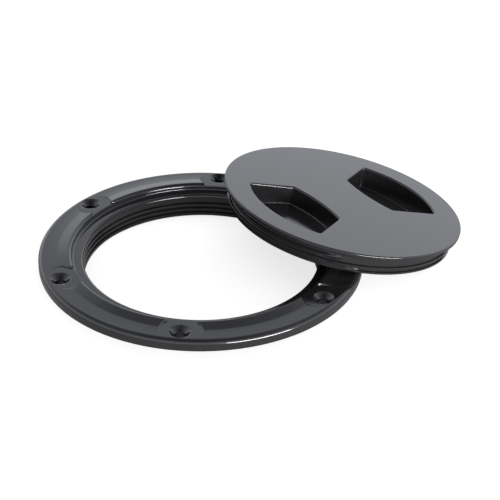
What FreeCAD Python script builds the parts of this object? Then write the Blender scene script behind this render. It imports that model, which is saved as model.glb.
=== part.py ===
"""Deck inspection plate, 4 inch class: a round mounting ring with a threaded access opening, and its
screw-in lid with two finger pockets, shown taken off and leaning on the ring.

The ring stands on its collar. The origin is on the ring's axis, in the plane where its flange lies
on the deck, +Z points out of the deck and +X runs through the first screw hole. Millimetres.
"""
import FreeCAD, Part
import math
import os
import re
import Sketcher

V = FreeCAD.Vector

# Driving sizes: alias, value, what it is.
SIZES = [
    # the mounting ring, built out from its clear opening
    ("opening_diameter", 101.6, "clear opening, at the crests of the ring's thread"),
    ("collar_wall", 4.7, "wall of the collar that drops through the deck's cut-out"),
    ("collar_drop", 8.5, "collar, below the deck"),
    ("collar_bevel", 0.8, "bevel at the collar's lower end"),
    ("flange_width", 19.2, "flange, from the clear opening to its rim"),
    ("flange_height", 5.0, "flange, from the deck to the flat of its top"),
    ("flange_round", 2.0, "rounding of the flange's upper rim"),
    ("flange_heel", 0.5, "bevel of the flange's lower rim"),
    ("recess_width", 4.45, "recess that takes the lid's flange, from the clear opening"),
    ("recess_sink", 2.3, "recess, below the flat of the flange's top"),
    ("recess_round", 0.9, "rounding in the corner of the recess"),
    ("mouth_round", 1.2, "rounding where the recess turns down into the opening"),
    ("lip_width", 6.55, "raised lip, from the recess to where it runs out on the flat"),
    ("lip_rise", 0.6, "crown of the lip, above the flat of the flange's top"),
    ("lip_round", 1.5, "rounding where the lip turns down into the recess"),
    ("screw_inset", 6.5, "screw holes, from the flange's rim"),
    ("screw_count", 6, "screw holes"),
    ("screw_pad", 9.1, "radius of the round flat that the lip leaves about each screw"),
    ("screw_bore", 4.6, "clearance bore of a screw hole"),
    ("screw_head", 8.8, "mouth of the countersink"),
    ("screw_cone", 90.0, "angle of the countersink, in degrees"),
    # the screw thread, shared by ring and lid
    ("thread_pitch", 2.35, "rise of the coarse moulded thread per turn"),
    ("thread_depth", 1.1, "height of the thread's profile"),
    ("thread_crest", 0.6, "flat of the profile at its crest"),
    ("thread_flank", 20.0, "slope of the profile's flanks, in degrees"),
    ("ring_thread_turns", 3.0, "turns of the groove in the ring"),
    ("lid_thread_turns", 2.0, "turns of the ridge on the lid"),
    ("thread_lift", 1.2, "foot of the ring's groove, above the collar's lower end"),
    ("thread_lap", 0.33, "how far either profile laps the wall that it is joined to or cut from"),
    ("thread_play", 0.35, "radial play between ridge and groove"),
    # the lid
    ("lid_play", 0.95, "radial play between the lid's flange and the recess"),
    ("lid_edge", 1.75, "thickness of the lid's flange"),
    ("lid_plate", 2.6, "thickness of the lid's top"),
    ("rim_round", 0.6, "rounding of the lid's upper rim"),
    ("rim_bevel", 0.3, "bevel of the lid's lower rim"),
    ("skirt_drop", 9.0, "threaded skirt, below the lid's flange"),
    ("skirt_wall", 2.8, "wall of the skirt"),
    ("skirt_bevel", 0.4, "bevel at the skirt's lower end"),
    ("lid_thread_start", 230.0, "where the lid's ridge starts, from its first pocket, in degrees"),
    ("seal_section", 1.9, "cord of the O-ring"),
    ("seal_sink", 1.2, "depth of the O-ring's groove below the root of the thread"),
    ("seal_play", 0.05, "play of the O-ring in its groove"),
    # the finger pockets
    ("pocket_count", 2, "finger pockets, evenly about the lid's axis"),
    ("pocket_margin", 4.95, "a pocket's outer side, from the inside of the skirt"),
    ("pocket_outer_half", 24.3, "half the chord of the outer side"),
    ("pocket_start", 16.6, "inner corners, from the lid's axis"),
    ("pocket_inner_half", 15.6, "half the inner side"),
    ("pocket_bulge", 2.0, "swell of the inner side towards the axis"),
    ("pocket_shallow", 8.0, "depth at the inner side"),
    ("pocket_deep", 10.4, "depth at the outer side"),
    ("pocket_draft", 0.5, "how much each wall draws in at the floor"),
    ("pocket_corner", 1.2, "rounding where two of its walls meet"),
    ("pocket_round", 0.8, "rounding of a pocket's upper edge"),
    ("cup_wall", 1.2, "wall and floor of the cup round a pocket"),
    # how the lid lies
    ("rest_beyond", 0.6, "lid's axis, beyond the flange's rim"),
    ("rest_bearing", 2.9, "direction of the lid from the ring, in degrees"),
    ("rest_lean", -0.4, "direction of the lid's fall, in degrees"),
    ("rest_spin", 14.3, "turn of the pockets from the fall, in degrees"),
    ("rest_gap", 0.05, "what the lid clears the ring by where it leans on it"),
]

doc = FreeCAD.newDocument("deck_inspection_plate")
sheet = doc.addObject("Spreadsheet::Sheet", "Sizes")
sheet.Label = "Sizes"
for row, (alias, value, note) in enumerate(SIZES, start=1):
    sheet.set("A%d" % row, note)
    sheet.set("B%d" % row, str(value))
    sheet.setAlias("B%d" % row, alias)
doc.recompute()


def tied(text):
    """The text with the sheet's name put before each alias, as an expression for setExpression."""
    aliases = {alias for alias, _, _ in SIZES}
    return re.sub(r"[a-z_]+", lambda m: "Sizes." + m[0] if m[0] in aliases else m[0], text)


def worth(text):
    """The number that such an expression comes to now. Angles are in degrees."""
    found = sheet.evalExpression(tied(text))
    return float(getattr(found, "Value", found))


def plane_of(body, role):
    """One of the body's own origin planes or axes, by its role."""
    return next(item for item in body.Origin.OriginFeatures if item.Role == role)


def new_body(label):
    body = doc.addObject("PartDesign::Body", label)
    body.Label = label
    return body


def arc_between(start, end, radius, turns_left):
    """A sketch arc from start to end, and whether it runs that way round in the sketch."""
    middle = (start + end) / 2
    chord = end - start
    rise = math.sqrt(max(radius ** 2 - (chord.Length / 2) ** 2, 0.0))
    side = V(-chord.y, chord.x, 0) / chord.Length
    centre = middle + side * (rise if turns_left else -rise)
    first, last = (start, end) if turns_left else (end, start)
    angles = [math.atan2(p.y - centre.y, p.x - centre.x) for p in (first, last)]
    circle = Part.Circle(centre, V(0, 0, 1), radius)
    return Part.ArcOfCircle(circle, angles[0], angles[1])


def outline(body, name, corners, plane="XZ_Plane", bows=None):
    """A closed sketch through corners given as expressions on the sheet.

    bows maps the number of a side to (radius, turns_left) where that side is an arc.
    """
    bows = bows or {}
    sketch = body.newObject("Sketcher::SketchObject", name)
    sketch.AttachmentSupport = [(plane_of(body, plane), "")]
    sketch.MapMode = "FlatFace"
    points = [V(worth(x), worth(y), 0) for x, y in corners]
    count = len(points)
    begins = []
    for side in range(count):
        start, end = points[side], points[(side + 1) % count]
        if side in bows:
            radius, turns_left = bows[side]
            sketch.addGeometry(arc_between(start, end, worth(radius), turns_left), False)
            begins.append(1 if turns_left else 2)
        else:
            sketch.addGeometry(Part.LineSegment(start, end), False)
            begins.append(1)
    for side in range(count):
        after = (side + 1) % count
        joint = Sketcher.Constraint("Coincident", side, 3 - begins[side], after, begins[after])
        sketch.addConstraint(joint)
    for side, (x, y) in enumerate(corners):
        for kind, text, axis in (("DistanceX", x, -2), ("DistanceY", y, -1)):
            if text == "0":
                sketch.addConstraint(
                    Sketcher.Constraint("PointOnObject", side, begins[side], axis)
                )
                continue
            mark = sketch.addConstraint(
                Sketcher.Constraint(kind, -1, 1, side, begins[side], worth(text))
            )
            sketch.setExpression("Constraints[%d]" % mark, tied(text))
    for side, (radius, _) in bows.items():
        mark = sketch.addConstraint(Sketcher.Constraint("Radius", side, worth(radius)))
        sketch.setExpression("Constraints[%d]" % mark, tied(radius))
    return sketch


def turned(body, kind, name, corners, bows=None):
    """A full turn of an outline about the body's axis: a Revolution adds, a Groove cuts."""
    sketch = outline(body, name + "_profile", corners, bows=bows)
    feature = body.newObject("PartDesign::" + kind, name)
    feature.Profile = sketch
    feature.ReferenceAxis = (plane_of(body, "Z_Axis"), [""])
    feature.Angle = 360
    body.Tip = feature
    doc.recompute()
    return feature


def round_the_axis(body, name, feature, count):
    """The feature repeated evenly about the body's axis."""
    pattern = body.newObject("PartDesign::PolarPattern", name)
    pattern.Originals = [feature]
    pattern.Axis = (plane_of(body, "Z_Axis"), [""])
    pattern.Angle = 360
    pattern.Occurrences = int(worth(count))
    pattern.setExpression("Occurrences", tied(count))
    body.Tip = pattern
    doc.recompute()
    return pattern


def helix(body, kind, name, corners, turns, start="0"):
    """A thread profile carried up a right-handed helix about the body's axis, from an angle."""
    sketch = outline(body, name + "_profile", corners)
    sketch.AttachmentOffset = FreeCAD.Placement(V(0, 0, 0), FreeCAD.Rotation(V(0, 1, 0), 1))
    sketch.setExpression("AttachmentOffset.Rotation.Angle", tied(start))
    feature = body.newObject("PartDesign::" + kind, name)
    feature.Profile = sketch
    feature.ReferenceAxis = (plane_of(body, "Z_Axis"), [""])
    feature.Mode = "pitch-turns-angle"
    feature.setExpression("Pitch", tied("thread_pitch"))
    feature.setExpression("Turns", tied(turns))
    body.Tip = feature
    doc.recompute()
    return feature


# The mounting ring: flange, collar, recess for the lid and the opening. The flange's top is flat
# outside and rises to a lip round the recess.
ring = new_body("mounting_ring")
CREST = "opening_diameter/2"
RIM = "(opening_diameter/2 + flange_width)"
COLLAR = "(opening_diameter/2 + collar_wall)"
RECESS = "(opening_diameter/2 + recess_width)"
SCREWS = "(opening_diameter/2 + flange_width - screw_inset)"
TOP = "flange_height"
LIP = "(flange_height + lip_rise)"
SEAT = "(flange_height - recess_sink)"
FOOT = "-collar_drop"
ring_corners = [
    (RECESS + " + lip_round", LIP),
    (RECESS, LIP + " - lip_round"),
    (RECESS, SEAT + " + recess_round"),
    (RECESS + " - recess_round", SEAT),
    (CREST + " + mouth_round", SEAT),
    (CREST, SEAT + " - mouth_round"),
    (CREST, FOOT + " + collar_bevel"),
    (CREST + " + collar_bevel", FOOT),
    (COLLAR + " - collar_bevel", FOOT),
    (COLLAR, FOOT + " + collar_bevel"),
    (COLLAR, "0"),
    (RIM + " - flange_heel", "0"),
    (RIM, "flange_heel"),
    (RIM, TOP + " - flange_round"),
    (RIM + " - flange_round", TOP),
    (RECESS + " + lip_width", TOP),
]
ring_bows = {
    0: ("lip_round", True),
    2: ("recess_round", False),
    4: ("mouth_round", True),
    13: ("flange_round", True),
}
turned(ring, "Revolution", "flange_and_collar", ring_corners, ring_bows)


def circle_about_screw(name, radius):
    """A circle about the first screw's axis, in the plane of the flange's flat top."""
    sketch = ring.newObject("Sketcher::SketchObject", name)
    sketch.AttachmentSupport = [(plane_of(ring, "XY_Plane"), "")]
    sketch.MapMode = "FlatFace"
    sketch.AttachmentOffset = FreeCAD.Placement(V(0, 0, worth(TOP)), FreeCAD.Rotation())
    sketch.setExpression("AttachmentOffset.Base.z", tied(TOP))
    sketch.addGeometry(Part.Circle(V(worth(SCREWS), 0, 0), V(0, 0, 1), worth(radius)), False)
    sketch.addConstraint(Sketcher.Constraint("PointOnObject", 0, 3, -1))
    out = sketch.addConstraint(Sketcher.Constraint("DistanceX", -1, 1, 0, 3, worth(SCREWS)))
    sketch.setExpression("Constraints[%d]" % out, tied(SCREWS))
    size = sketch.addConstraint(Sketcher.Constraint("Radius", 0, worth(radius)))
    sketch.setExpression("Constraints[%d]" % size, tied(radius))
    doc.recompute()
    return sketch


# The lip is cut away to the flat in a round pad about each screw.
pad = ring.newObject("PartDesign::Pocket", "screw_pad_cut")
pad.Profile = circle_about_screw("screw_pad_circle", "screw_pad")
pad.Reversed = True
CLEAR_OF_LIP = "lip_rise + lip_round"
pad.Length = worth(CLEAR_OF_LIP)
pad.setExpression("Length", tied(CLEAR_OF_LIP))
ring.Tip = pad
doc.recompute()
round_the_axis(ring, "screw_pads", pad, "screw_count")

# Countersunk screw holes through the flange.
hole_centre = circle_about_screw("screw_hole_centre", "screw_bore/2")
hole = ring.newObject("PartDesign::Hole", "screw_hole")
hole.Profile = hole_centre
doc.recompute()
hole.ThreadType = "None"
hole.DepthType = "ThroughAll"
hole.HoleCutType = "Countersink"
for field, text in (
    ("Diameter", "screw_bore"),
    ("HoleCutDiameter", "screw_head"),
    ("HoleCutCountersinkAngle", "screw_cone"),
):
    setattr(hole, field, worth(text))
    hole.setExpression(field, tied(text))
ring.Tip = hole
doc.recompute()
round_the_axis(ring, "screw_holes", hole, "screw_count")

# The thread's groove, cut into the wall of the opening. Its profile is a blunt wedge, widest at the
# opening.
CREST_HALF = "thread_crest/2"
MOUTH_HALF = "(thread_crest/2 + thread_depth*tan(thread_flank))"
LAP_HALF = "(thread_crest/2 + (thread_depth + thread_lap)*tan(thread_flank))"
MID = "(" + FOOT + " + thread_lift + " + MOUTH_HALF + ")"
ring_groove = [
    (CREST + " + thread_depth", MID + " - " + CREST_HALF),
    (CREST + " + thread_depth", MID + " + " + CREST_HALF),
    (CREST + " - thread_lap", MID + " + " + LAP_HALF),
    (CREST + " - thread_lap", MID + " - " + LAP_HALF),
]
helix(ring, "SubtractiveHelix", "ring_thread", ring_groove, "ring_thread_turns")

# The lid: a flat face with a thin flange, a neck for the O-ring and a threaded skirt.
lid = new_body("screw_lid")
LID_RIM = "(opening_diameter/2 + recess_width - lid_play)"
ROOT = "(opening_diameter/2 - thread_play)"
SKIRT_INSIDE = "(opening_diameter/2 - thread_play - skirt_wall)"
NECK = "(opening_diameter/2 - thread_play - seal_sink)"
NECK_FOOT = "-(lid_edge + seal_section + 2*seal_play)"
SKIRT_FOOT = "-(lid_edge + skirt_drop)"
lid_corners = [
    ("0", "0"),
    (LID_RIM + " - rim_round", "0"),
    (LID_RIM, "-rim_round"),
    (LID_RIM, "-lid_edge + rim_bevel"),
    (LID_RIM + " - rim_bevel", "-lid_edge"),
    (NECK, "-lid_edge"),
    (NECK, NECK_FOOT),
    (ROOT, NECK_FOOT),
    (ROOT, SKIRT_FOOT + " + skirt_bevel"),
    (ROOT + " - skirt_bevel", SKIRT_FOOT),
    (SKIRT_INSIDE, SKIRT_FOOT),
    (SKIRT_INSIDE, "-lid_plate"),
    ("0", "-lid_plate"),
]
turned(lid, "Revolution", "face_and_skirt", lid_corners, {1: ("rim_round", False)})


REACH = "(opening_diameter/2 - thread_play - skirt_wall - pocket_margin)"


def pocket_outline(name, inset, lift, slope="0"):
    """One finger pocket seen from above: an outer side about the lid's axis, two straight sides that
    close in towards the middle, and a gently swollen inner side. inset draws every side in."""
    reach = "(%s - %s)" % (REACH, inset)
    outer = "(pocket_outer_half - %s)" % inset
    start = "(pocket_start + %s)" % inset
    inner = "(pocket_inner_half - %s)" % inset
    corner = "sqrt(%s^2 - %s^2)" % (reach, outer)
    swell = "((%s^2 + pocket_bulge^2)/(2*pocket_bulge))" % inner
    corners = [(start, "-" + inner), (corner, "-" + outer), (corner, outer), (start, inner)]
    sketch = outline(lid, name, corners, "XY_Plane", {1: (reach, True), 3: (swell, True)})
    sketch.AttachmentOffset = FreeCAD.Placement(
        V(0, 0, worth(lift)), FreeCAD.Rotation(V(0, 1, 0), 1)
    )
    sketch.setExpression("AttachmentOffset.Base.z", tied(lift))
    sketch.setExpression("AttachmentOffset.Rotation.Angle", tied(slope))
    return sketch


def lofted(kind, name, top, bottom):
    """A solid, or a cut, between a pocket's outline at the top and the one at its floor."""
    feature = lid.newObject("PartDesign::" + kind, name)
    feature.Profile = top
    feature.Sections = [bottom]
    feature.Ruled = True
    lid.Tip = feature
    doc.recompute()
    return feature


# Two cups hang below the face. Their floors slope, deeper towards the rim.
RUN = "(" + REACH + " - pocket_start + pocket_bulge)"
SLOPE = "atan((pocket_deep - pocket_shallow)/" + RUN + ")"
FLOOR = "-pocket_shallow + (pocket_start - pocket_bulge)*(pocket_deep - pocket_shallow)/" + RUN
cup = lofted(
    "AdditiveLoft",
    "cup",
    pocket_outline("cup_top", "(0 - cup_wall)", "-lid_plate/2"),
    pocket_outline("cup_floor", "(pocket_draft - cup_wall)", FLOOR + " - cup_wall", SLOPE),
)
round_the_axis(lid, "cups", cup, "pocket_count")
pocket = lofted(
    "SubtractiveLoft",
    "pocket",
    pocket_outline("pocket_mouth", "0", "0"),
    pocket_outline("pocket_floor", "pocket_draft", FLOOR, SLOPE),
)
round_the_axis(lid, "pockets", pocket, "pocket_count")


def fillet(name, radius, wanted):
    """A fillet of the lid on every edge that wanted() picks out of its present shape."""
    base = lid.Tip
    picked = [
        "Edge%d" % number
        for number, edge in enumerate(base.Shape.Edges, start=1)
        if wanted(edge)
    ]
    feature = lid.newObject("PartDesign::Fillet", name)
    feature.Base = (base, picked)
    feature.Radius = worth(radius)
    feature.setExpression("Radius", tied(radius))
    lid.Tip = feature
    doc.recompute()
    return feature


def inside_pocket(edge):
    """Whether an edge lies on a pocket's walls: in plan between the inner and the outer side."""
    near = worth("pocket_start - pocket_bulge") - NEAR
    far = worth(REACH) + NEAR
    radii = [math.hypot(v.X, v.Y) for v in edge.Vertexes]
    return bool(radii) and min(radii) > near and max(radii) < far


def at_face(edge):
    """Whether an edge is on a pocket's mouth."""
    return inside_pocket(edge) and all(abs(v.Z) < NEAR for v in edge.Vertexes)


def is_upright(edge):
    """Whether an edge runs from a pocket's mouth down to its floor."""
    if not inside_pocket(edge) or len(edge.Vertexes) != 2:
        return False
    heights = sorted(v.Z for v in edge.Vertexes)
    return abs(heights[1]) < NEAR and heights[0] < -worth("pocket_shallow") + NEAR


NEAR = 0.01
fillet("pocket_corners", "pocket_corner", is_upright)
fillet("pocket_edges", "pocket_round", at_face)

# The thread's ridge on the skirt, the same wedge turned outwards and one play smaller in radius.
RIDGE_FOOT = SKIRT_FOOT + " + skirt_bevel"
RIDGE_MID = "(" + RIDGE_FOOT + " + " + MOUTH_HALF + ")"
lid_ridge = [
    (ROOT + " - thread_lap", RIDGE_MID + " - " + LAP_HALF),
    (ROOT + " + thread_depth", RIDGE_MID + " - " + CREST_HALF),
    (ROOT + " + thread_depth", RIDGE_MID + " + " + CREST_HALF),
    (ROOT + " - thread_lap", RIDGE_MID + " + " + LAP_HALF),
]
helix(lid, "AdditiveHelix", "lid_thread", lid_ridge, "lid_thread_turns", "lid_thread_start")

# The O-ring sits in the neck, between the flange's underside and the top of the threaded skirt.
seal = doc.addObject("Part::Torus", "lid_o_ring")
seal.Label = "lid_o_ring"
seal.setExpression("Radius1", tied(NECK + " + seal_play + seal_section/2"))
seal.setExpression("Radius2", tied("seal_section/2"))
doc.recompute()


# What the lid's rest is worked out from.
TOP_HEIGHT = worth(TOP)
ROUNDING = worth("flange_round")
RIM_RADIUS = worth(RIM)
CROWN_RADIUS = RIM_RADIUS - ROUNDING
RECESS_RADIUS = worth(RECESS)
LIP_CROWN = RECESS_RADIUS + worth("lip_round")
LIP_FOOT = RECESS_RADIUS + worth("lip_width")
LIP_RISE = worth("lip_rise")
FLOOR_HEIGHT = worth(FOOT)
SKIRT_DEPTH = -worth(SKIRT_FOOT)
LOW_RADII = (worth(SKIRT_INSIDE), worth(ROOT + " - skirt_bevel"))


def ring_height(radius):
    """Height of the ring's top at a radius, or None where the ring has nothing to lean on."""
    if radius < RECESS_RADIUS or radius > RIM_RADIUS:
        return None
    if radius < LIP_FOOT:
        share = (LIP_FOOT - radius) / (LIP_FOOT - LIP_CROWN)
        return TOP_HEIGHT + LIP_RISE * min(share, 1.0)
    if radius <= CROWN_RADIUS:
        return TOP_HEIGHT
    fall = ROUNDING - math.sqrt(max(ROUNDING ** 2 - (radius - CROWN_RADIUS) ** 2, 0.0))
    return TOP_HEIGHT - fall


def lid_place(tilt):
    """The lid's placement at a tilt, with its lowest edge on the surface that the ring stands on."""
    angle = math.radians(tilt)
    height = FLOOR_HEIGHT + SKIRT_DEPTH * math.cos(angle) + LOW_RADII[1] * math.sin(angle)
    turn = FreeCAD.Rotation(V(0, 0, 1), worth("rest_lean"))
    turn = turn.multiply(FreeCAD.Rotation(V(0, 1, 0), tilt))
    bearing = math.radians(worth("rest_bearing"))
    centre = V(math.cos(bearing), math.sin(bearing), 0) * worth(RIM + " + rest_beyond")
    return FreeCAD.Placement(centre + V(0, 0, height), turn)


def clearance(tilt):
    """The least height of the skirt's lower edges above the mounting ring's top at a tilt."""
    place = lid_place(tilt)
    least = math.inf
    for step in range(STEPS):
        angle = 2 * math.pi * step / STEPS
        for radius in LOW_RADII:
            local = V(radius * math.cos(angle), radius * math.sin(angle), -SKIRT_DEPTH)
            point = place.multVec(local)
            top = ring_height(math.hypot(point.x, point.y))
            if top is not None:
                least = min(least, point.z - top)
    return least


# The lid leans on the ring: its tilt is the one at which its skirt just clears the ring's rim while
# its low edge stands on the floor.
STEPS = 1440
HALVINGS = 20
FLATTEST, STEEPEST = 2.0, 40.0
REST_GAP = worth("rest_gap")
flat, steep = FLATTEST, STEEPEST
for _ in range(HALVINGS):
    tilt = (flat + steep) / 2
    if clearance(tilt) < REST_GAP:
        flat = tilt
    else:
        steep = tilt
lean = lid_place(steep)
lean.Rotation = lean.Rotation.multiply(FreeCAD.Rotation(V(0, 0, 1), worth("rest_spin")))
lid.Placement = lean
SEAL_DROP = worth("-(lid_edge + seal_play + seal_section/2)")
seal.Placement = lean.multiply(FreeCAD.Placement(V(0, 0, SEAL_DROP), FreeCAD.Rotation()))
doc.recompute()
print("lid tilt %.2f degrees, face centre %s" % (steep, lid.Placement.Base))

# Every object must have come out sound before anything is written.
for item in doc.Objects:
    if "Invalid" in item.State or "Error" in item.State:
        raise RuntimeError("%s: %s" % (item.Name, item.getStatusString()))
os.makedirs("parts", exist_ok=True)
for piece in (ring, lid, seal):
    shape = piece.Shape
    if shape.isNull() or not shape.isValid() or len(shape.Solids) != 1:
        raise RuntimeError("%s is not one sound solid" % piece.Label)
    shape.exportStep("parts/%s.step" % piece.Label)
    print("%s: %.0f mm3, %d faces" % (piece.Label, shape.Volume, len(shape.Faces)))
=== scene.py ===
# %% [markdown]
# # An inspection plate for a boat's deck, with its lid taken off
#
# The real plate is three mouldings. A black flange with a short collar is screwed down round a
# hole in the deck. A lid screws into the collar, and two finger pockets in its face give the hand
# a hold. A thin rubber ring under the lid's rim keeps the water out.
#
# Here the lid has been unscrewed and leans on the ring, one edge on the floor. We build each
# moulding as one clean mesh of our own, because gloss black shows every fault of a surface: the
# frame's meshes are true in size, but their triangles are too coarse for smooth reflections.

import math

import bmesh
import bpy
from mathutils import Matrix, Vector
from mathutils.geometry import tessellate_polygon


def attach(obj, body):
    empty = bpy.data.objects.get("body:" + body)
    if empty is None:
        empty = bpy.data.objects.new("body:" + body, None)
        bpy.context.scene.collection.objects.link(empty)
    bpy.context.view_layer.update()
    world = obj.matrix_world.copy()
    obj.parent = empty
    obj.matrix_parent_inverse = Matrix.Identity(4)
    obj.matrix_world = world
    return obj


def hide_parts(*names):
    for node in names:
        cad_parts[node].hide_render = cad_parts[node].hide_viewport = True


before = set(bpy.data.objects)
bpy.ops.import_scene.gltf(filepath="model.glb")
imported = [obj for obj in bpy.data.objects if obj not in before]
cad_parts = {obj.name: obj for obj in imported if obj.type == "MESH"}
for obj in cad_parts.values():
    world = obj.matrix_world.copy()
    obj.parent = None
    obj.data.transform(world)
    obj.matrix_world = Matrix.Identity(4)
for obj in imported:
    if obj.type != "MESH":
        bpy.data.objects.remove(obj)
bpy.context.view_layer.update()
print("nodes:", sorted(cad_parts))

# %% [markdown]
# ## Sizes
#
# A maker works from a drawing in millimetres, so every size below is in millimetres and becomes
# metres only when a mesh is made. Heights are above the deck on which the flange lies. The lid has
# heights of its own, from its face downwards.

# %% Sizes of the ring
FLANGE_RADIUS = 70.0
FLANGE_TOP = 5.0
FLANGE_ROUND = 2.0
FLANGE_HEEL = 0.5
COLLAR_RADIUS = 55.5
COLLAR_FOOT = -8.5
COLLAR_BEVEL = 0.8
OPENING_RADIUS = 50.8
MOUTH_ROUND = 1.2
RECESS_RADIUS = 55.6
RECESS_FLOOR = 2.7
RECESS_ROUND = 0.9
LIP_TOP = 5.75
LIP_ROUND = 1.6
LIP_FOOT = 61.8
FLAT_TOP = 4.93
FLAT_START = 67.0
WALL_HEAD = RECESS_FLOOR - MOUTH_ROUND
WALL_FOOT = COLLAR_FOOT + COLLAR_BEVEL
SCREW_CIRCLE_RADIUS = 63.5
SCREW_COUNT = 6
SCREW_PAD = 9.1
print("the flange is %.1f mm wide" % (FLANGE_RADIUS - RECESS_RADIUS))

# %% Sizes of the lid and of the thread that both share
LID_RADIUS = 54.3
RIM_ROUND = 0.6
RIM_DEPTH = 1.75
RIM_BEVEL = 0.3
NECK_RADIUS = 49.25
NECK_DEPTH = 3.75
SKIRT_RADIUS = 50.45
SKIRT_DEPTH = 10.75
SKIRT_BEVEL = 0.4
SKIRT_INSIDE = 47.65
PLATE_DEPTH = 2.6
THREAD_PITCH = 2.35
THREAD_DEPTH = 1.1
THREAD_CREST = 0.3
THREAD_BASE = THREAD_CREST + THREAD_DEPTH * math.tan(math.radians(20))
print("one turn of the lid lifts it by %.2f mm" % THREAD_PITCH)

# %% [markdown]
# ## Surfaces as columns of points
#
# Nearly every surface here goes round an axis. It can be spun with a Screw modifier, but then
# nothing on it may change on the way round, and this ring has a lip with six gaps and a thread. So
# we describe a surface as columns: one short list of points for each angle. Two neighbouring
# columns make a strip of quads, and all the strips make the surface. A few more columns stand where
# the lip ends at each gap, to give it a crisp edge.

# %% Quads between columns, and a flat filling
STEPS = 480
PAD_EDGE = 6.0
EDGE_ANGLES = (0.0, 0.06, 0.13, 0.2, 0.26, 0.32)
ANGLES = {360.0 * step / STEPS for step in range(STEPS)}
for screw in range(SCREW_COUNT):
    for extra in EDGE_ANGLES:
        for side in (-1, 1):
            ANGLES.add((screw * 360.0 / SCREW_COUNT + side * (PAD_EDGE + extra)) % 360)
ANGLES = sorted(ANGLES)


class Sheets:
    """Surfaces that will become one mesh. Points are in millimetres."""

    def __init__(self):
        self.points = []
        self.faces = []

    def columns(self, columns, closed):
        """Quads between each two columns of points, and from the last to the first if closed."""
        base = len(self.points)
        height = len(columns[0])
        for column in columns:
            self.points.extend(column)
        count = len(columns)
        for number in range(count if closed else count - 1):
            left = base + number * height
            right = base + (number + 1) % count * height
            for row in range(height - 1):
                self.faces.append((left + row, right + row, right + row + 1, left + row + 1))

    def fill(self, *loops):
        """Triangles that fill the first loop and leave out the others."""
        base = len(self.points)
        for loop in loops:
            self.points.extend(loop)
        for triangle in tessellate_polygon([[Vector(p) for p in loop] for loop in loops]):
            self.faces.append(tuple(base + corner for corner in triangle))


def at(angle, radius, height):
    """The point at an angle in degrees, a radius and a height."""
    turn = math.radians(angle)
    return (radius * math.cos(turn), radius * math.sin(turn), height)


def bend(centre, radius, start, end, steps):
    """Points of a rounding in a profile, as (radius, height). Angles are in degrees."""
    turns = [math.radians(start + (end - start) * step / steps) for step in range(steps + 1)]
    return [(centre[0] + radius * math.cos(t), centre[1] + radius * math.sin(t)) for t in turns]


# %% [markdown]
# ## From sheets to a piece
#
# The sheets meet edge to edge, so points that fall together are merged, and the piece becomes one
# closed skin. Edges sharper than the limit stay crisp. A Weighted Normal modifier then lets the
# large flat faces decide how light turns at a rounding's ends. Without it a flat face next to a
# small rounding looks swollen, and on gloss black that is the first thing one sees.

# %% Make a mesh, and finish its normals
MERGE = 2e-6


def mesh_of(name, sheets, place=Matrix()):
    """An object from sheets in millimetres, moved by place, which is in metres."""
    built = bmesh.new()
    corners = [built.verts.new(place @ (Vector(p) * 0.001)) for p in sheets.points]
    for face in sheets.faces:
        built.faces.new([corners[number] for number in face])
    bmesh.ops.remove_doubles(built, verts=built.verts, dist=MERGE)
    bmesh.ops.dissolve_degenerate(built, dist=MERGE / 4, edges=built.edges)
    bmesh.ops.recalc_face_normals(built, faces=built.faces)
    mesh = bpy.data.meshes.new(name)
    built.to_mesh(mesh)
    built.free()
    piece = bpy.data.objects.new(name, mesh)
    bpy.context.scene.collection.objects.link(piece)
    return piece


def applied(piece):
    """The piece with its modifiers made part of its mesh."""
    bpy.context.view_layer.update()
    graph = bpy.context.evaluated_depsgraph_get()
    done = bpy.data.meshes.new_from_object(piece.evaluated_get(graph))
    piece.modifiers.clear()
    piece.data = done
    return piece


def smoothed(piece, sharp=32):
    """Smooth shading that keeps edges over the sharp angle crisp and flat faces flat."""
    piece.data.polygons.foreach_set("use_smooth", [True] * len(piece.data.polygons))
    piece.data.set_sharp_from_angle(angle=math.radians(sharp))
    weighted = piece.modifiers.new("weighted", "WEIGHTED_NORMAL")
    weighted.keep_sharp = True
    weighted.weight = 100
    applied(piece)
    open_edges = bmesh.new()
    open_edges.from_mesh(piece.data)
    loose = sum(1 for edge in open_edges.edges if not edge.is_manifold)
    open_edges.free()
    print("%s: %d faces, %d open edges" % (piece.name, len(piece.data.polygons), loose))
    return piece


# %% [markdown]
# ## A wall with a thread
#
# The collar has a thread cut into its inner wall, and the lid's skirt carries the ridge that runs
# in it. Both are the same wedge wound round a cylinder, so one helper serves both. A curve swept
# along a helix would do, but it would cross the wall and not be part of it. Instead the wall's own
# rows climb with the thread: each row keeps its distance from the wedge's middle, so that the
# wedge's edges always lie on rows and stay clean.

# %% The threaded wall
WEDGE = [
    (-THREAD_BASE - 0.05, 0.0),
    (-THREAD_BASE + 0.04, 0.07),
    (-THREAD_CREST - 0.05, THREAD_DEPTH - 0.09),
    (-THREAD_CREST + 0.06, THREAD_DEPTH),
    (THREAD_CREST - 0.06, THREAD_DEPTH),
    (THREAD_CREST + 0.05, THREAD_DEPTH - 0.09),
    (THREAD_BASE - 0.04, 0.07),
    (THREAD_BASE + 0.05, 0.0),
]
RUN_OUT = 0.03
FADE = 0.3


def ease(value):
    """0 below 0, 1 above 1 and a smooth step between."""
    value = min(max(value, 0.0), 1.0)
    return value * value * (3 - 2 * value)


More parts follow.
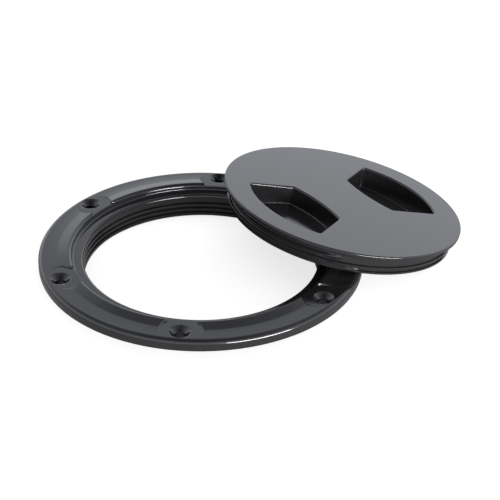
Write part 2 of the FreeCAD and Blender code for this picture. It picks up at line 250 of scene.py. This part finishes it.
def threaded_wall(radius, foot, head, middle, turns, start):
    """Columns of a cylinder with a wedge wound outwards on it, rising from middle at start."""
    columns = []
    for angle in ANGLES + [360.0]:
        column = [at(start + angle, radius, foot)]
        for turn in range(-2, int(turns) + 2):
            done = angle / 360 + turn
            strength = ease(done / RUN_OUT) * ease((turns - done) / RUN_OUT)
            for offset, height in WEDGE:
                level = middle + THREAD_PITCH * done + offset
                near_end = ease((head - level) / FADE) * ease((level - foot) / FADE)
                level = min(max(level, foot), head)
                column.append(at(start + angle, radius + height * strength * near_end, level))
        column.append(at(start + angle, radius, head))
        columns.append(column)
    return columns


# %% [markdown]
# ## The mounting ring
#
# The ring's section is a flange with a rounded edge, a lip that rises gently towards the recess for
# the lid, a ledge, and the collar below. About each screw the lip is missing: there the flange is
# flat within a circle. The edge of that circle crosses the lip aslant. So on the lip our columns
# are pushed sideways until they follow the circle, and the push fades out on flat ground, where a
# slanting column does no harm.

# %% The ring's section at an angle
LIP_CROWN = RECESS_RADIUS + LIP_ROUND
CAMBER = 0.05
SCREW_PITCH = 360 / SCREW_COUNT


def pad_angle(radius):
    """The angle from a screw at which the edge of its flat circle crosses a radius."""
    radius = min(max(radius, RECESS_RADIUS), LIP_FOOT)
    across = SCREW_CIRCLE_RADIUS ** 2 + radius ** 2 - SCREW_PAD ** 2
    return math.degrees(math.acos(across / (2 * SCREW_CIRCLE_RADIUS * radius)))


def pushed(angle, radius, push):
    """The angle moved so that the columns at PAD_EDGE follow the circle, for a push of 1."""
    offset = (angle + SCREW_PITCH / 2) % SCREW_PITCH - SCREW_PITCH / 2
    size, edge = abs(offset), pad_angle(radius)
    if size < PAD_EDGE:
        moved = size * edge / PAD_EDGE
    else:
        share = (size - PAD_EDGE) / (SCREW_PITCH / 2 - PAD_EDGE)
        moved = edge + share * (SCREW_PITCH / 2 - edge)
    return angle + push * math.copysign(moved - size, offset)


def lip_share(angle):
    """How much of the lip there is in a column: 0 about a screw, 1 elsewhere."""
    size = abs((angle + SCREW_PITCH / 2) % SCREW_PITCH - SCREW_PITCH / 2)
    return ease((size - PAD_EDGE) / EDGE_ANGLES[-1])


def lip_profile():
    """The top from the recess to where it is flat, as (radius, height) where the lip is whole."""
    shoulder = FLAT_TOP + CAMBER * (FLAT_START - LIP_FOOT) / 2
    slope = math.atan((LIP_TOP - shoulder) / (LIP_FOOT - LIP_CROWN))
    crown = (LIP_CROWN, LIP_TOP - LIP_ROUND)
    points = bend(crown, LIP_ROUND, 180, 90 - math.degrees(slope), 14)
    start = points[-1]
    for share in (0.02, 0.2, 0.4, 0.6, 0.8, 0.95):
        points.append(
            (
                start[0] + share * (LIP_FOOT - start[0]),
                start[1] + share * (shoulder - start[1]),
            )
        )
    for share in (0.03, 0.1, 0.2, 0.3, 0.4, 0.5, 0.6, 0.7, 0.8, 0.9, 1.0):
        radius = LIP_FOOT + share * (FLAT_START - LIP_FOOT)
        points.append((radius, FLAT_TOP + (shoulder - FLAT_TOP) * (1 - share) ** 2))
    return points


LIP_PROFILE = lip_profile()


def ring_section(angle):
    """Points from the opening's upper edge, over the flange, to the lower one, at an angle."""
    mouth = bend((OPENING_RADIUS + MOUTH_ROUND, WALL_HEAD), MOUTH_ROUND, 180, 90, 10)
    ledge_end = (RECESS_RADIUS - RECESS_ROUND, RECESS_FLOOR + RECESS_ROUND)
    recess = bend(ledge_end, RECESS_ROUND, -90, 0, 8)
    share = lip_share(angle)
    lip = [(r, min(z, FLAT_TOP + share * max(z - FLAT_TOP, 0))) for r, z in LIP_PROFILE]
    crown = (FLANGE_RADIUS - FLANGE_ROUND, FLAT_TOP - FLANGE_ROUND)
    outside = (
        [(crown[0] - 0.25, FLAT_TOP)]
        + bend(crown, FLANGE_ROUND, 90, 0, 16)
        + bend((FLANGE_RADIUS - FLANGE_HEEL, FLANGE_HEEL), FLANGE_HEEL, 0, -90, 5)
        + bend((COLLAR_RADIUS + 0.4, -0.4), 0.4, 90, 180, 4)
        + [(COLLAR_RADIUS, WALL_FOOT), (COLLAR_RADIUS - COLLAR_BEVEL, COLLAR_FOOT)]
        + [(OPENING_RADIUS + COLLAR_BEVEL, COLLAR_FOOT), (OPENING_RADIUS, WALL_FOOT)]
    )
    plain = [at(angle, r, z) for r, z in mouth]
    follows = []
    for radius, height in recess + lip:
        push = 1 - ease((radius - LIP_FOOT) / (FLAT_START - LIP_FOOT))
        follows.append(at(pushed(angle, radius, push), radius, height))
    return plain + follows + [at(angle, r, z) for r, z in outside]


print("the section has %d points" % len(ring_section(0)))

# %% The ring's skin
RING_MIDDLE = COLLAR_FOOT + 1.5 * COLLAR_BEVEL + THREAD_BASE
RING_TURNS = 3

ring_sheets = Sheets()
ring_sheets.columns([ring_section(a) for a in ANGLES], True)
ring_sheets.columns(
    threaded_wall(OPENING_RADIUS, WALL_FOOT, WALL_HEAD, RING_MIDDLE, RING_TURNS, 0), False
)
deck_ring = mesh_of("deck_ring", ring_sheets)

# %% [markdown]
# ## Screw holes
#
# Six countersunk holes take the flange's screws. We shape one drill as its own small mesh, with a
# slight flare at the top so that the hole's edge catches the light as a moulded edge does. Six of
# them are cut from the ring by one Boolean modifier.

# %% Cut the six holes
HOLE_STEPS = 72
BORE_RADIUS = 2.3
DRILL = [
    (0.0, FLANGE_TOP + 1.0),
    (4.6, FLANGE_TOP + 1.0),
    (4.42, FLAT_TOP + 0.001),
    (4.36, FLAT_TOP - 0.03),
    (4.26, FLAT_TOP - 0.12),
    (2.42, FLAT_TOP - 2.05),
    (BORE_RADIUS, FLAT_TOP - 2.25),
    (BORE_RADIUS, -1.0),
    (0.0, -1.0),
]

drill_sheets = Sheets()
for screw in range(SCREW_COUNT):
    centre = Vector(at(360 / SCREW_COUNT * screw, SCREW_CIRCLE_RADIUS, 0))
    drill_sheets.columns(
        [
            [tuple(centre + Vector(at(360 * s / HOLE_STEPS, r, z))) for r, z in DRILL]
            for s in range(HOLE_STEPS)
        ],
        True,
    )
drills = mesh_of("drills", drill_sheets)
cut = deck_ring.modifiers.new("holes", "BOOLEAN")
cut.operation = "DIFFERENCE"
cut.solver = "EXACT"
cut.object = drills
applied(deck_ring)
bpy.data.objects.remove(drills, do_unlink=True)
smoothed(deck_ring)
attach(deck_ring, "root")
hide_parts("mounting_ring")

# %% [markdown]
# ## Finger pockets
#
# A pocket seen from above has an outer side that follows the lid's rim, two straight sides that
# close in, and a gently swollen inner side. Its corners are rounded. If every level of the pocket
# is the same outline, drawn in or out a little and with the same number of points, then the
# levels can be joined like the rows of any other surface, and the rounded mouth and the rounded
# foot of the wall come from the same few lines of code.

# %% A pocket's outline at any inset
POCKET_REACH = 42.7
POCKET_OUTER_HALF = 24.3
POCKET_START = 16.6
POCKET_INNER_HALF = 15.6
POCKET_BULGE = 2.0
POCKET_CORNER = 1.2
SIDE_STEPS = 28
CORNER_STEPS = 10


def corner_of(point, along, centre, radius, rounding):
    """A rounding between a straight side and an arc: its centre and its two ends."""
    inward = Vector((-along.y, along.x))
    start = point + inward * rounding
    reach = start - centre
    half = reach.dot(along)
    root = math.sqrt(half * half - reach.length_squared + (radius - rounding) ** 2)
    choices = [start + along * (step - half) for step in (root, -root)]
    middle = min(choices, key=lambda p: (p - point).length)
    return middle, middle - inward * rounding, centre + (middle - centre).normalized() * radius


def swing(centre, first, last, steps):
    """Points on an arc about centre from first to last, the short way, without the last."""
    a = math.atan2(first.y - centre.y, first.x - centre.x)
    b = math.atan2(last.y - centre.y, last.x - centre.x)
    turn = (b - a + math.pi) % (2 * math.pi) - math.pi
    radius = (first - centre).length
    return [
        centre + Vector((math.cos(a + turn * s / steps), math.sin(a + turn * s / steps))) * radius
        for s in range(steps)
    ]


def pocket_outline(inset, rounding):
    """The outline drawn in by inset, anticlockwise from the outer side's low end."""
    reach = POCKET_REACH - inset
    outer = POCKET_OUTER_HALF - inset
    start = POCKET_START + inset
    inner = POCKET_INNER_HALF - inset
    far = Vector((math.sqrt(reach * reach - outer * outer), outer))
    near = Vector((start, inner))
    along = (near - far).normalized()
    swell = (inner * inner + POCKET_BULGE ** 2) / (2 * POCKET_BULGE)
    bow = Vector((start - POCKET_BULGE + swell, 0))
    axis = Vector((0, 0))
    far_middle, far_side, far_arc = corner_of(far, along, axis, reach, rounding)
    near_middle, near_side, near_arc = corner_of(near, along, bow, swell, rounding)

    def below(point):
        return Vector((point.x, -point.y))

    return (
        swing(axis, below(far_arc), far_arc, 2 * SIDE_STEPS)
        + swing(far_middle, far_arc, far_side, CORNER_STEPS)
        + [far_side.lerp(near_side, s / SIDE_STEPS) for s in range(SIDE_STEPS)]
        + swing(near_middle, near_side, near_arc, CORNER_STEPS)
        + swing(bow, near_arc, below(near_arc), 2 * SIDE_STEPS)
        + swing(below(near_middle), below(near_arc), below(near_side), CORNER_STEPS)
        + [below(near_side).lerp(below(far_side), s / SIDE_STEPS) for s in range(SIDE_STEPS)]
        + swing(below(far_middle), below(far_side), below(far_arc), CORNER_STEPS)
    )


print("a pocket's outline has %d points" % len(pocket_outline(0, POCKET_CORNER)))

# %% The levels of a pocket and of the cup round it
POCKET_SHALLOW = 8.0
POCKET_DEEP = 10.4
POCKET_DRAFT = 0.5
POCKET_ROUND = 0.8
POCKET_FOOT = 0.7
CUP_WALL = 1.2
FLOOR_RUN = POCKET_REACH - POCKET_START + POCKET_BULGE


def floor_at(x):
    """Height of the pocket's sloping floor, deeper towards the rim."""
    part = (x - POCKET_START + POCKET_BULGE) / FLOOR_RUN
    return -POCKET_SHALLOW - part * (POCKET_DEEP - POCKET_SHALLOW)


def pocket_levels(turned):
    """Rings of points from the mouth's outer edge to the floor, turned about the lid's axis."""
    spin = Matrix.Rotation(math.radians(turned), 3, "Z")
    levels = []
    for step in range(9):
        turn = math.radians(90 * step / 8)
        inset = -POCKET_ROUND * (1 - math.sin(turn))
        drop = POCKET_ROUND * (1 - math.cos(turn))
        loop = pocket_outline(inset, POCKET_CORNER - inset)
        levels.append([tuple(spin @ Vector((p.x, p.y, -drop))) for p in loop])
    for step in range(1, 7):
        turn = math.radians(90 * (step - 1) / 5)
        inset = POCKET_DRAFT + POCKET_FOOT * (1 - math.cos(turn))
        lift = POCKET_FOOT * (1 - math.sin(turn))
        loop = pocket_outline(inset, POCKET_CORNER + 0.3 - POCKET_FOOT * (1 - math.cos(turn)))
        levels.append([tuple(spin @ Vector((p.x, p.y, floor_at(p.x) + lift))) for p in loop])
    return levels


def cup_levels(turned):
    """Rings of points of the cup's outside, from the plate's underside to the cup's floor."""
    spin = Matrix.Rotation(math.radians(turned), 3, "Z")
    levels = []
    for part, draw in ((0.0, 0.0), (1.0, 0.0), (1.0, 0.5)):
        inset = -CUP_WALL + POCKET_DRAFT * part + draw
        loop = pocket_outline(inset, 1.0)
        ring = []
        for p in loop:
            lowest = floor_at(p.x) - CUP_WALL
            height = -PLATE_DEPTH if part == 0 else lowest + 0.5 - draw
            ring.append(tuple(spin @ Vector((p.x, p.y, height))))
        levels.append(ring)
    return levels


print("floor from %.1f to %.1f mm deep" % (POCKET_SHALLOW, POCKET_DEEP))

# %% [markdown]
# ## The lid
#
# The lid's face is flat and rounded at its rim. Under the rim a neck holds the rubber ring, and
# below it stands the threaded skirt. We spin the outside and the inside as columns, add the
# threaded wall, hang in the two pockets and their cups, and fill the flat parts in between: the
# face round the two mouths, and the underside round the two cups.

# %% The lid's skin
LID_MIDDLE = -SKIRT_DEPTH + SKIRT_BEVEL + THREAD_BASE
LID_TURNS = 2
LID_START = 230.0
SKIRT_FOOT = -SKIRT_DEPTH + SKIRT_BEVEL
FACE_RADIUS = LID_RADIUS - RIM_ROUND - RIM_BEVEL
INNER_ROUND = 0.4


def face_edge():
    """The lid's section from the flat face to the neck's foot."""
    return (
        [(FACE_RADIUS, 0.0)]
        + bend((LID_RADIUS - RIM_ROUND, -RIM_ROUND), RIM_ROUND, 90, 0, 10)
        + bend((LID_RADIUS - RIM_BEVEL, -RIM_DEPTH + RIM_BEVEL), RIM_BEVEL, 0, -90, 5)
        + bend((NECK_RADIUS + 0.2, -RIM_DEPTH - 0.2), 0.2, 90, 180, 3)
        + [(NECK_RADIUS, -NECK_DEPTH), (SKIRT_RADIUS, -NECK_DEPTH)]
    )


def skirt_inside():
    """The section from the threaded wall's foot up the inside to the plate's underside."""
    return (
        [(SKIRT_RADIUS, SKIRT_FOOT), (SKIRT_RADIUS - SKIRT_BEVEL, -SKIRT_DEPTH)]
        + bend((SKIRT_INSIDE + 0.2, -SKIRT_DEPTH + 0.2), 0.2, -90, -180, 3)
        + bend(
            (SKIRT_INSIDE - INNER_ROUND, -PLATE_DEPTH - INNER_ROUND), INNER_ROUND, 0, 90, 4
        )
    )


start_angles = [LID_START + a for a in ANGLES]
lid_sheets = Sheets()
lid_sheets.columns([[at(a, r, z) for r, z in face_edge()] for a in start_angles], True)
lid_sheets.columns(
    threaded_wall(SKIRT_RADIUS, SKIRT_FOOT, -NECK_DEPTH, LID_MIDDLE, LID_TURNS, LID_START), False
)
lid_sheets.columns([[at(a, r, z) for r, z in skirt_inside()] for a in start_angles], True)

pockets = [pocket_levels(turned) for turned in (0, 180)]
cups = [cup_levels(turned) for turned in (0, 180)]
for levels in pockets + cups:
    lid_sheets.columns([list(column) for column in zip(*levels)], True)
    lid_sheets.fill(levels[-1])
lid_sheets.fill([at(a, FACE_RADIUS, 0) for a in start_angles], *[p[0] for p in pockets])
inside = SKIRT_INSIDE - INNER_ROUND
lid_sheets.fill([at(a, inside, -PLATE_DEPTH) for a in start_angles], *[c[0] for c in cups])

# %% [markdown]
# ## How the lid lies
#
# The lid leans on the ring with one side on the floor. Four values place it: the middle of its
# face, the direction in which it falls, the tilt, and how far its pockets are turned. They are the
# same as in the frame, where the lid is a solid.

# %% Place the lid
FACE_MIDDLE = Vector((70.5096, 3.5719, 12.5455)) * 0.001
LEAN = math.radians(-0.4)
TILT = math.radians(12.15)
SPIN = math.radians(14.3)

lid_place = (
    Matrix.Translation(FACE_MIDDLE)
    @ Matrix.Rotation(LEAN, 4, "Z")
    @ Matrix.Rotation(TILT, 4, "Y")
    @ Matrix.Rotation(SPIN, 4, "Z")
)
threaded_lid = mesh_of("threaded_lid", lid_sheets, lid_place)
smoothed(threaded_lid)
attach(threaded_lid, "root")
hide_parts("screw_lid")

# %% [markdown]
# ## The rubber ring under the rim
#
# It is a plain ring of round section in the lid's neck, spun as columns like the rest.

# %% The lid's seal
SEAL_SECTION = 1.9
SEAL_PLAY = 0.05
SEAL_RADIUS = NECK_RADIUS + SEAL_PLAY + SEAL_SECTION / 2
SEAL_HEIGHT = -(RIM_DEPTH + SEAL_PLAY + SEAL_SECTION / 2)
seal_section = bend((SEAL_RADIUS, SEAL_HEIGHT), SEAL_SECTION / 2, 0, 360, 28)

seal_sheets = Sheets()
seal_sheets.columns([[at(a, r, z) for r, z in seal_section] for a in ANGLES[::2]], True)
lid_seal = mesh_of("lid_seal", seal_sheets, lid_place)
smoothed(lid_seal)
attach(lid_seal, "root")
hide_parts("lid_o_ring")

# %% [markdown]
# ## Finishes
#
# Both mouldings are gloss black plastic. Up close even a polished moulding has a skin: a very
# faint ripple from the mould, a gloss that varies in soft clouds, and fine handling marks. The
# rubber has the same kind of variation, only coarser. So one node group makes it for both, and
# each material feeds its own values. The shader itself stays in the material.

# %% A node group for a moulded skin
def moulded_skin():
    """Node group: clouds of gloss, a faint ripple and fine marks over a surface."""
    group = bpy.data.node_groups.new("moulded_skin", "ShaderNodeTree")
    sockets = [
        ("Colour", "INPUT", "NodeSocketColor", (0.02, 0.02, 0.02, 1)),
        ("Gloss", "INPUT", "NodeSocketFloat", 0.15),
        ("Gloss Range", "INPUT", "NodeSocketFloat", 0.04),
        ("Cloud Scale", "INPUT", "NodeSocketFloat", 60.0),
        ("Grain Scale", "INPUT", "NodeSocketFloat", 900.0),
        ("Marks", "INPUT", "NodeSocketFloat", 0.05),
        ("Colour", "OUTPUT", "NodeSocketColor", None),
        ("Roughness", "OUTPUT", "NodeSocketFloat", None),
        ("Height", "OUTPUT", "NodeSocketFloat", None),
    ]
    for name, way, kind, value in sockets:
        socket = group.interface.new_socket(name=name, in_out=way, socket_type=kind)
        if value is not None:
            socket.default_value = value
    nodes, links = group.nodes, group.links
    inputs = nodes.new("NodeGroupInput")
    outputs = nodes.new("NodeGroupOutput")
    place = nodes.new("ShaderNodeTexCoord")

    def noise(scale, detail):
        made = nodes.new("ShaderNodeTexNoise")
        made.inputs["Detail"].default_value = detail
        links.new(place.outputs["Object"], made.inputs["Vector"])
        if isinstance(scale, str):
            links.new(inputs.outputs[scale], made.inputs["Scale"])
        else:
            made.inputs["Scale"].default_value = scale
        return made.outputs["Fac"]

    def maths(operation, a, b, c=None):
        made = nodes.new("ShaderNodeMath")
        made.operation = operation
        for socket, value in zip(made.inputs, (a, b, c)):
            if value is None:
                continue
            if isinstance(value, (int, float)):
                socket.default_value = value
            else:
                links.new(value, socket)
        return made.outputs[0]

    clouds = noise("Cloud Scale", 3.0)
    grain = noise("Grain Scale", 2.0)
    marks = nodes.new("ShaderNodeTexVoronoi")
    marks.feature = "DISTANCE_TO_EDGE"
    marks.inputs["Scale"].default_value = 45.0
    stretched = nodes.new("ShaderNodeMapping")
    stretched.inputs["Scale"].default_value = (1.0, 0.12, 1.0)
    stretched.inputs["Rotation"].default_value = (0.0, 0.0, 0.6)
    links.new(place.outputs["Object"], stretched.inputs["Vector"])
    links.new(stretched.outputs["Vector"], marks.inputs["Vector"])
    thin = maths("SUBTRACT", 1.0, maths("MULTIPLY", marks.outputs["Distance"], 60.0))
    thin = maths("MAXIMUM", thin, 0.0)
    patchy = maths("MULTIPLY", thin, maths("MAXIMUM", maths("SUBTRACT", clouds, 0.5), 0.0))
    marked = maths("MULTIPLY", patchy, inputs.outputs["Marks"])
    spread = maths("SUBTRACT", clouds, 0.5)
    gloss = maths("MULTIPLY_ADD", spread, inputs.outputs["Gloss Range"], inputs.outputs["Gloss"])
    gloss = maths("ADD", gloss, marked)
    tone = maths("MULTIPLY_ADD", spread, 0.5, 1.0)
    tinted = nodes.new("ShaderNodeMix")
    tinted.data_type = "RGBA"
    tinted.blend_type = "MULTIPLY"
    tinted.inputs["Factor"].default_value = 1.0
    links.new(inputs.outputs["Colour"], tinted.inputs["A"])
    links.new(tone, tinted.inputs["B"])
    links.new(tinted.outputs["Result"], outputs.inputs["Colour"])
    links.new(gloss, outputs.inputs["Roughness"])
    links.new(maths("MULTIPLY_ADD", clouds, 0.6, grain), outputs.inputs["Height"])
    return group


SKIN = moulded_skin()
print("group sockets:", [item.name for item in SKIN.interface.items_tree])


# %% The two materials
def finish_of(name, values, ior, bump, distance):
    """A Principled material whose colour, gloss and bump come from the moulded skin."""
    made = bpy.data.materials.new(name)
    made.use_nodes = True
    nodes, links = made.node_tree.nodes, made.node_tree.links
    shader = nodes["Principled BSDF"]
    shader.inputs["IOR"].default_value = ior
    skin = nodes.new("ShaderNodeGroup")
    skin.node_tree = SKIN
    for key, value in values.items():
        skin.inputs[key].default_value = value
    links.new(skin.outputs["Colour"], shader.inputs["Base Color"])
    links.new(skin.outputs["Roughness"], shader.inputs["Roughness"])
    ripple = nodes.new("ShaderNodeBump")
    ripple.inputs["Strength"].default_value = bump
    ripple.inputs["Distance"].default_value = distance
    links.new(skin.outputs["Height"], ripple.inputs["Height"])
    links.new(ripple.outputs["Normal"], shader.inputs["Normal"])
    return made


gloss_black = finish_of(
    "gloss_black_plastic",
    {
        "Colour": (0.012, 0.012, 0.013, 1),
        "Gloss": 0.13,
        "Gloss Range": 0.05,
        "Cloud Scale": 55.0,
        "Grain Scale": 1500.0,
        "Marks": 0.25,
    },
    1.54,
    0.05,
    0.00002,
)
seal_rubber = finish_of(
    "seal_rubber",
    {
        "Colour": (0.016, 0.016, 0.017, 1),
        "Gloss": 0.52,
        "Gloss Range": 0.15,
        "Cloud Scale": 120.0,
        "Grain Scale": 2600.0,
        "Marks": 0.0,
    },
    1.5,
    0.25,
    0.00005,
)
for piece, finish in (
    (deck_ring, gloss_black),
    (threaded_lid, gloss_black),
    (lid_seal, seal_rubber),
):
    piece.data.materials.clear()
    piece.data.materials.append(finish)
    print(piece.name, "is finished in", finish.name)

# %% [markdown]
# ## Floor, surroundings and light
#
# Gloss black has almost no colour of its own. What one sees is the room: bright walls low down all
# round, a dark beam end straight ahead and a dark ceiling. One broad window stands low behind the
# camera, on the right. Its reflection draws the fine bright lines on the lip, the threads and the
# rim. So the surroundings matter more than the lamp.
#
# The floor is plain and pale. Its colour is lifted towards white only for the camera, and it keeps
# the soft shadow of the two mouldings.

# %% A pale floor
FLOOR_HEIGHT = COLLAR_FOOT * 0.001
FLOOR_LIFT = 0.72
floor_mesh = bpy.data.meshes.new("floor")
half = 4.0
floor_mesh.from_pydata(
    [(-half, -half, FLOOR_HEIGHT), (half, -half, FLOOR_HEIGHT)]
    + [(half, half, FLOOR_HEIGHT), (-half, half, FLOOR_HEIGHT)],
    [],
    [(0, 1, 2, 3)],
)
floor = bpy.data.objects.new("floor", floor_mesh)
bpy.context.scene.collection.objects.link(floor)

floor_paint = bpy.data.materials.new("floor_paint")
floor_paint.use_nodes = True
nodes, links = floor_paint.node_tree.nodes, floor_paint.node_tree.links
paint = nodes["Principled BSDF"]
paint.inputs["Base Color"].default_value = (0.82, 0.82, 0.82, 1)
paint.inputs["Roughness"].default_value = 0.9
paint.inputs["Specular IOR Level"].default_value = 0.0
lift = nodes.new("ShaderNodeEmission")
rays = nodes.new("ShaderNodeLightPath")
seen = nodes.new("ShaderNodeMath")
seen.operation = "MULTIPLY"
seen.inputs[1].default_value = FLOOR_LIFT
links.new(rays.outputs["Is Camera Ray"], seen.inputs[0])
links.new(seen.outputs[0], lift.inputs["Strength"])
both = nodes.new("ShaderNodeAddShader")
links.new(paint.outputs["BSDF"], both.inputs[0])
links.new(lift.outputs["Emission"], both.inputs[1])
links.new(both.outputs["Shader"], nodes["Material Output"].inputs["Surface"])
floor.data.materials.append(floor_paint)

# %% The room round the object
world = bpy.data.worlds.new("room")
bpy.context.scene.world = world
world.use_nodes = True
nodes, links = world.node_tree.nodes, world.node_tree.links
nodes.clear()
where = nodes.new("ShaderNodeTexCoord")
parts = nodes.new("ShaderNodeSeparateXYZ")
links.new(where.outputs["Generated"], parts.inputs["Vector"])


def levels_of(source, stops, tint=(1, 1, 1)):
    """A ramp of brightness over a value, from (value, level) pairs."""
    ramp = nodes.new("ShaderNodeValToRGB")
    while len(ramp.color_ramp.elements) < len(stops):
        ramp.color_ramp.elements.new(0.5)
    for element, (stop, level) in zip(ramp.color_ramp.elements, stops):
        element.position = stop
        element.color = (*[level * share for share in tint], 1)
    links.new(source, ramp.inputs["Fac"])
    return ramp.outputs["Color"]


def along(direction):
    """How far a direction of the room points along another one, from -1 to 1."""
    dot = nodes.new("ShaderNodeVectorMath")
    dot.operation = "DOT_PRODUCT"
    links.new(where.outputs["Generated"], dot.inputs[0])
    dot.inputs[1].default_value = direction
    return dot.outputs["Value"]


def product(a, b):
    """Two colours or levels multiplied."""
    made = nodes.new("ShaderNodeMix")
    made.data_type = "RGBA"
    made.blend_type = "MULTIPLY"
    made.inputs["Factor"].default_value = 1.0
    links.new(a, made.inputs["A"])
    links.new(b, made.inputs["B"])
    return made.outputs["Result"]


REFLECTED_LEVEL = 2.22
PLAIN_LEVEL = 0.45
STOPS = [
    (0, 0.7),
    (0.42, 0.7),
    (0.47, 0.62),
    (0.52, 0.44),
    (0.57, 0.51),
    (0.62, 0.5),
    (0.68, 0.35),
    (0.74, 0.19),
    (0.95, 0.175),
]
TINT = (0.9, 0.93, 1.0)
walls = levels_of(parts.outputs["Z"], STOPS, TINT)

# A dark beam's end under the ceiling, straight ahead of the camera.
SIDEWAYS = (0.909, -0.416, 0.0)
beam_side = nodes.new("ShaderNodeMath")
beam_side.operation = "ABSOLUTE"
links.new(along(SIDEWAYS), beam_side.inputs[0])
beam_width = levels_of(beam_side.outputs[0], [(0.0, 0.0), (0.085, 0.0), (0.11, 1.0), (1.0, 1.0)])
beam_height = levels_of(
    parts.outputs["Z"], [(0.0, 1.0), (0.672, 1.0), (0.688, 0.0), (0.716, 0.0), (0.73, 1.0)]
)
beam_free = nodes.new("ShaderNodeMix")
beam_free.data_type = "RGBA"
beam_free.blend_type = "LIGHTEN"
beam_free.inputs["Factor"].default_value = 1.0
links.new(beam_width, beam_free.inputs["A"])
links.new(beam_height, beam_free.inputs["B"])
beam = levels_of(beam_free.outputs["Result"], [(0.0, 0.2), (1.0, 1.0)])

# The ceiling is dark above the camera and behind it.
OVERHEAD = (-0.10, -0.22, 0.97)
ceiling = levels_of(along(OVERHEAD), [(0.0, 1.0), (0.88, 1.0), (0.93, 0.25), (1.0, 0.2)])
room_light = product(product(walls, beam), ceiling)
reflected = nodes.new("ShaderNodeBackground")
reflected.inputs["Strength"].default_value = REFLECTED_LEVEL
links.new(room_light, reflected.inputs["Color"])
plain = nodes.new("ShaderNodeBackground")
plain.inputs["Color"].default_value = (1, 1, 1, 1)
plain.inputs["Strength"].default_value = PLAIN_LEVEL
white = nodes.new("ShaderNodeBackground")
white.inputs["Color"].default_value = (1, 1, 1, 1)
white.inputs["Strength"].default_value = 1.0
rays = nodes.new("ShaderNodeLightPath")
mirror_or_glass = nodes.new("ShaderNodeMath")
mirror_or_glass.operation = "MAXIMUM"
links.new(rays.outputs["Is Glossy Ray"], mirror_or_glass.inputs[0])
links.new(rays.outputs["Is Transmission Ray"], mirror_or_glass.inputs[1])
first = nodes.new("ShaderNodeMixShader")
links.new(mirror_or_glass.outputs[0], first.inputs["Fac"])
links.new(plain.outputs[0], first.inputs[1])
links.new(reflected.outputs[0], first.inputs[2])
second = nodes.new("ShaderNodeMixShader")
links.new(rays.outputs["Is Camera Ray"], second.inputs["Fac"])
links.new(first.outputs[0], second.inputs[1])
links.new(white.outputs[0], second.inputs[2])
room = nodes.new("ShaderNodeOutputWorld")
links.new(second.outputs[0], room.inputs["Surface"])
print("the walls have %d levels from floor to ceiling" % len(STOPS))


# %% The low window
def soft_lamp(name, bearing, height, distance, size, power):
    """An area lamp that looks at the object, placed by bearing and height in degrees."""
    lamp = bpy.data.lights.new(name, "AREA")
    lamp.energy = power
    lamp.shape = "RECTANGLE"
    lamp.size, lamp.size_y = size
    holder = bpy.data.objects.new(name, lamp)
    b, h = math.radians(bearing), math.radians(height)
    away = Vector((math.cos(b) * math.cos(h), math.sin(b) * math.cos(h), math.sin(h)))
    holder.location = Vector((0.03, 0.0, 0.0)) + away * distance
    holder.rotation_euler = away.to_track_quat("Z", "Y").to_euler()
    bpy.context.scene.collection.objects.link(holder)
    print("%s stands at %s" % (name, [round(v, 2) for v in holder.location]))
    return holder


soft_lamp("low_window", -76.5, 6.2, 1.3, (1.0, 0.26), 31.0)

# %% [markdown]
# ## Camera
#
# The camera looks down on the plate from the front left, from a little over sixty centimetres. Its
# place and aim come from the ellipses that the round parts make in the picture. It is turned a
# degree about its own axis, as a hand-held or slightly uneven tripod shot is.

# %% Set the camera
CAMERA_PLACE = Vector((-0.2008, -0.4893, 0.32885))
CAMERA_HEADING = math.radians(65.4)
CAMERA_DOWN = math.radians(31.54)
CAMERA_ROLL = math.radians(-1.08)

flat = Vector((math.cos(CAMERA_HEADING), math.sin(CAMERA_HEADING), 0))
forward = flat * math.cos(CAMERA_DOWN) + Vector((0, 0, -math.sin(CAMERA_DOWN)))
right = forward.cross(Vector((0, 0, 1))).normalized()
up = right.cross(forward)
sideways = right * math.cos(CAMERA_ROLL) - up * math.sin(CAMERA_ROLL)
upwards = up * math.cos(CAMERA_ROLL) + right * math.sin(CAMERA_ROLL)
turn = Matrix((sideways, upwards, -forward)).transposed().to_4x4()

lens = bpy.data.cameras.new("camera")
lens.lens = 103.2
lens.clip_start = 0.05
lens.clip_end = 20
camera = bpy.data.objects.new("camera", lens)
camera.matrix_world = Matrix.Translation(CAMERA_PLACE) @ turn
bpy.context.scene.collection.objects.link(camera)
bpy.context.scene.camera = camera
bpy.context.scene.view_settings.view_transform = "Standard"
print("camera looks %.1f degrees down" % math.degrees(CAMERA_DOWN))

# %% [markdown]
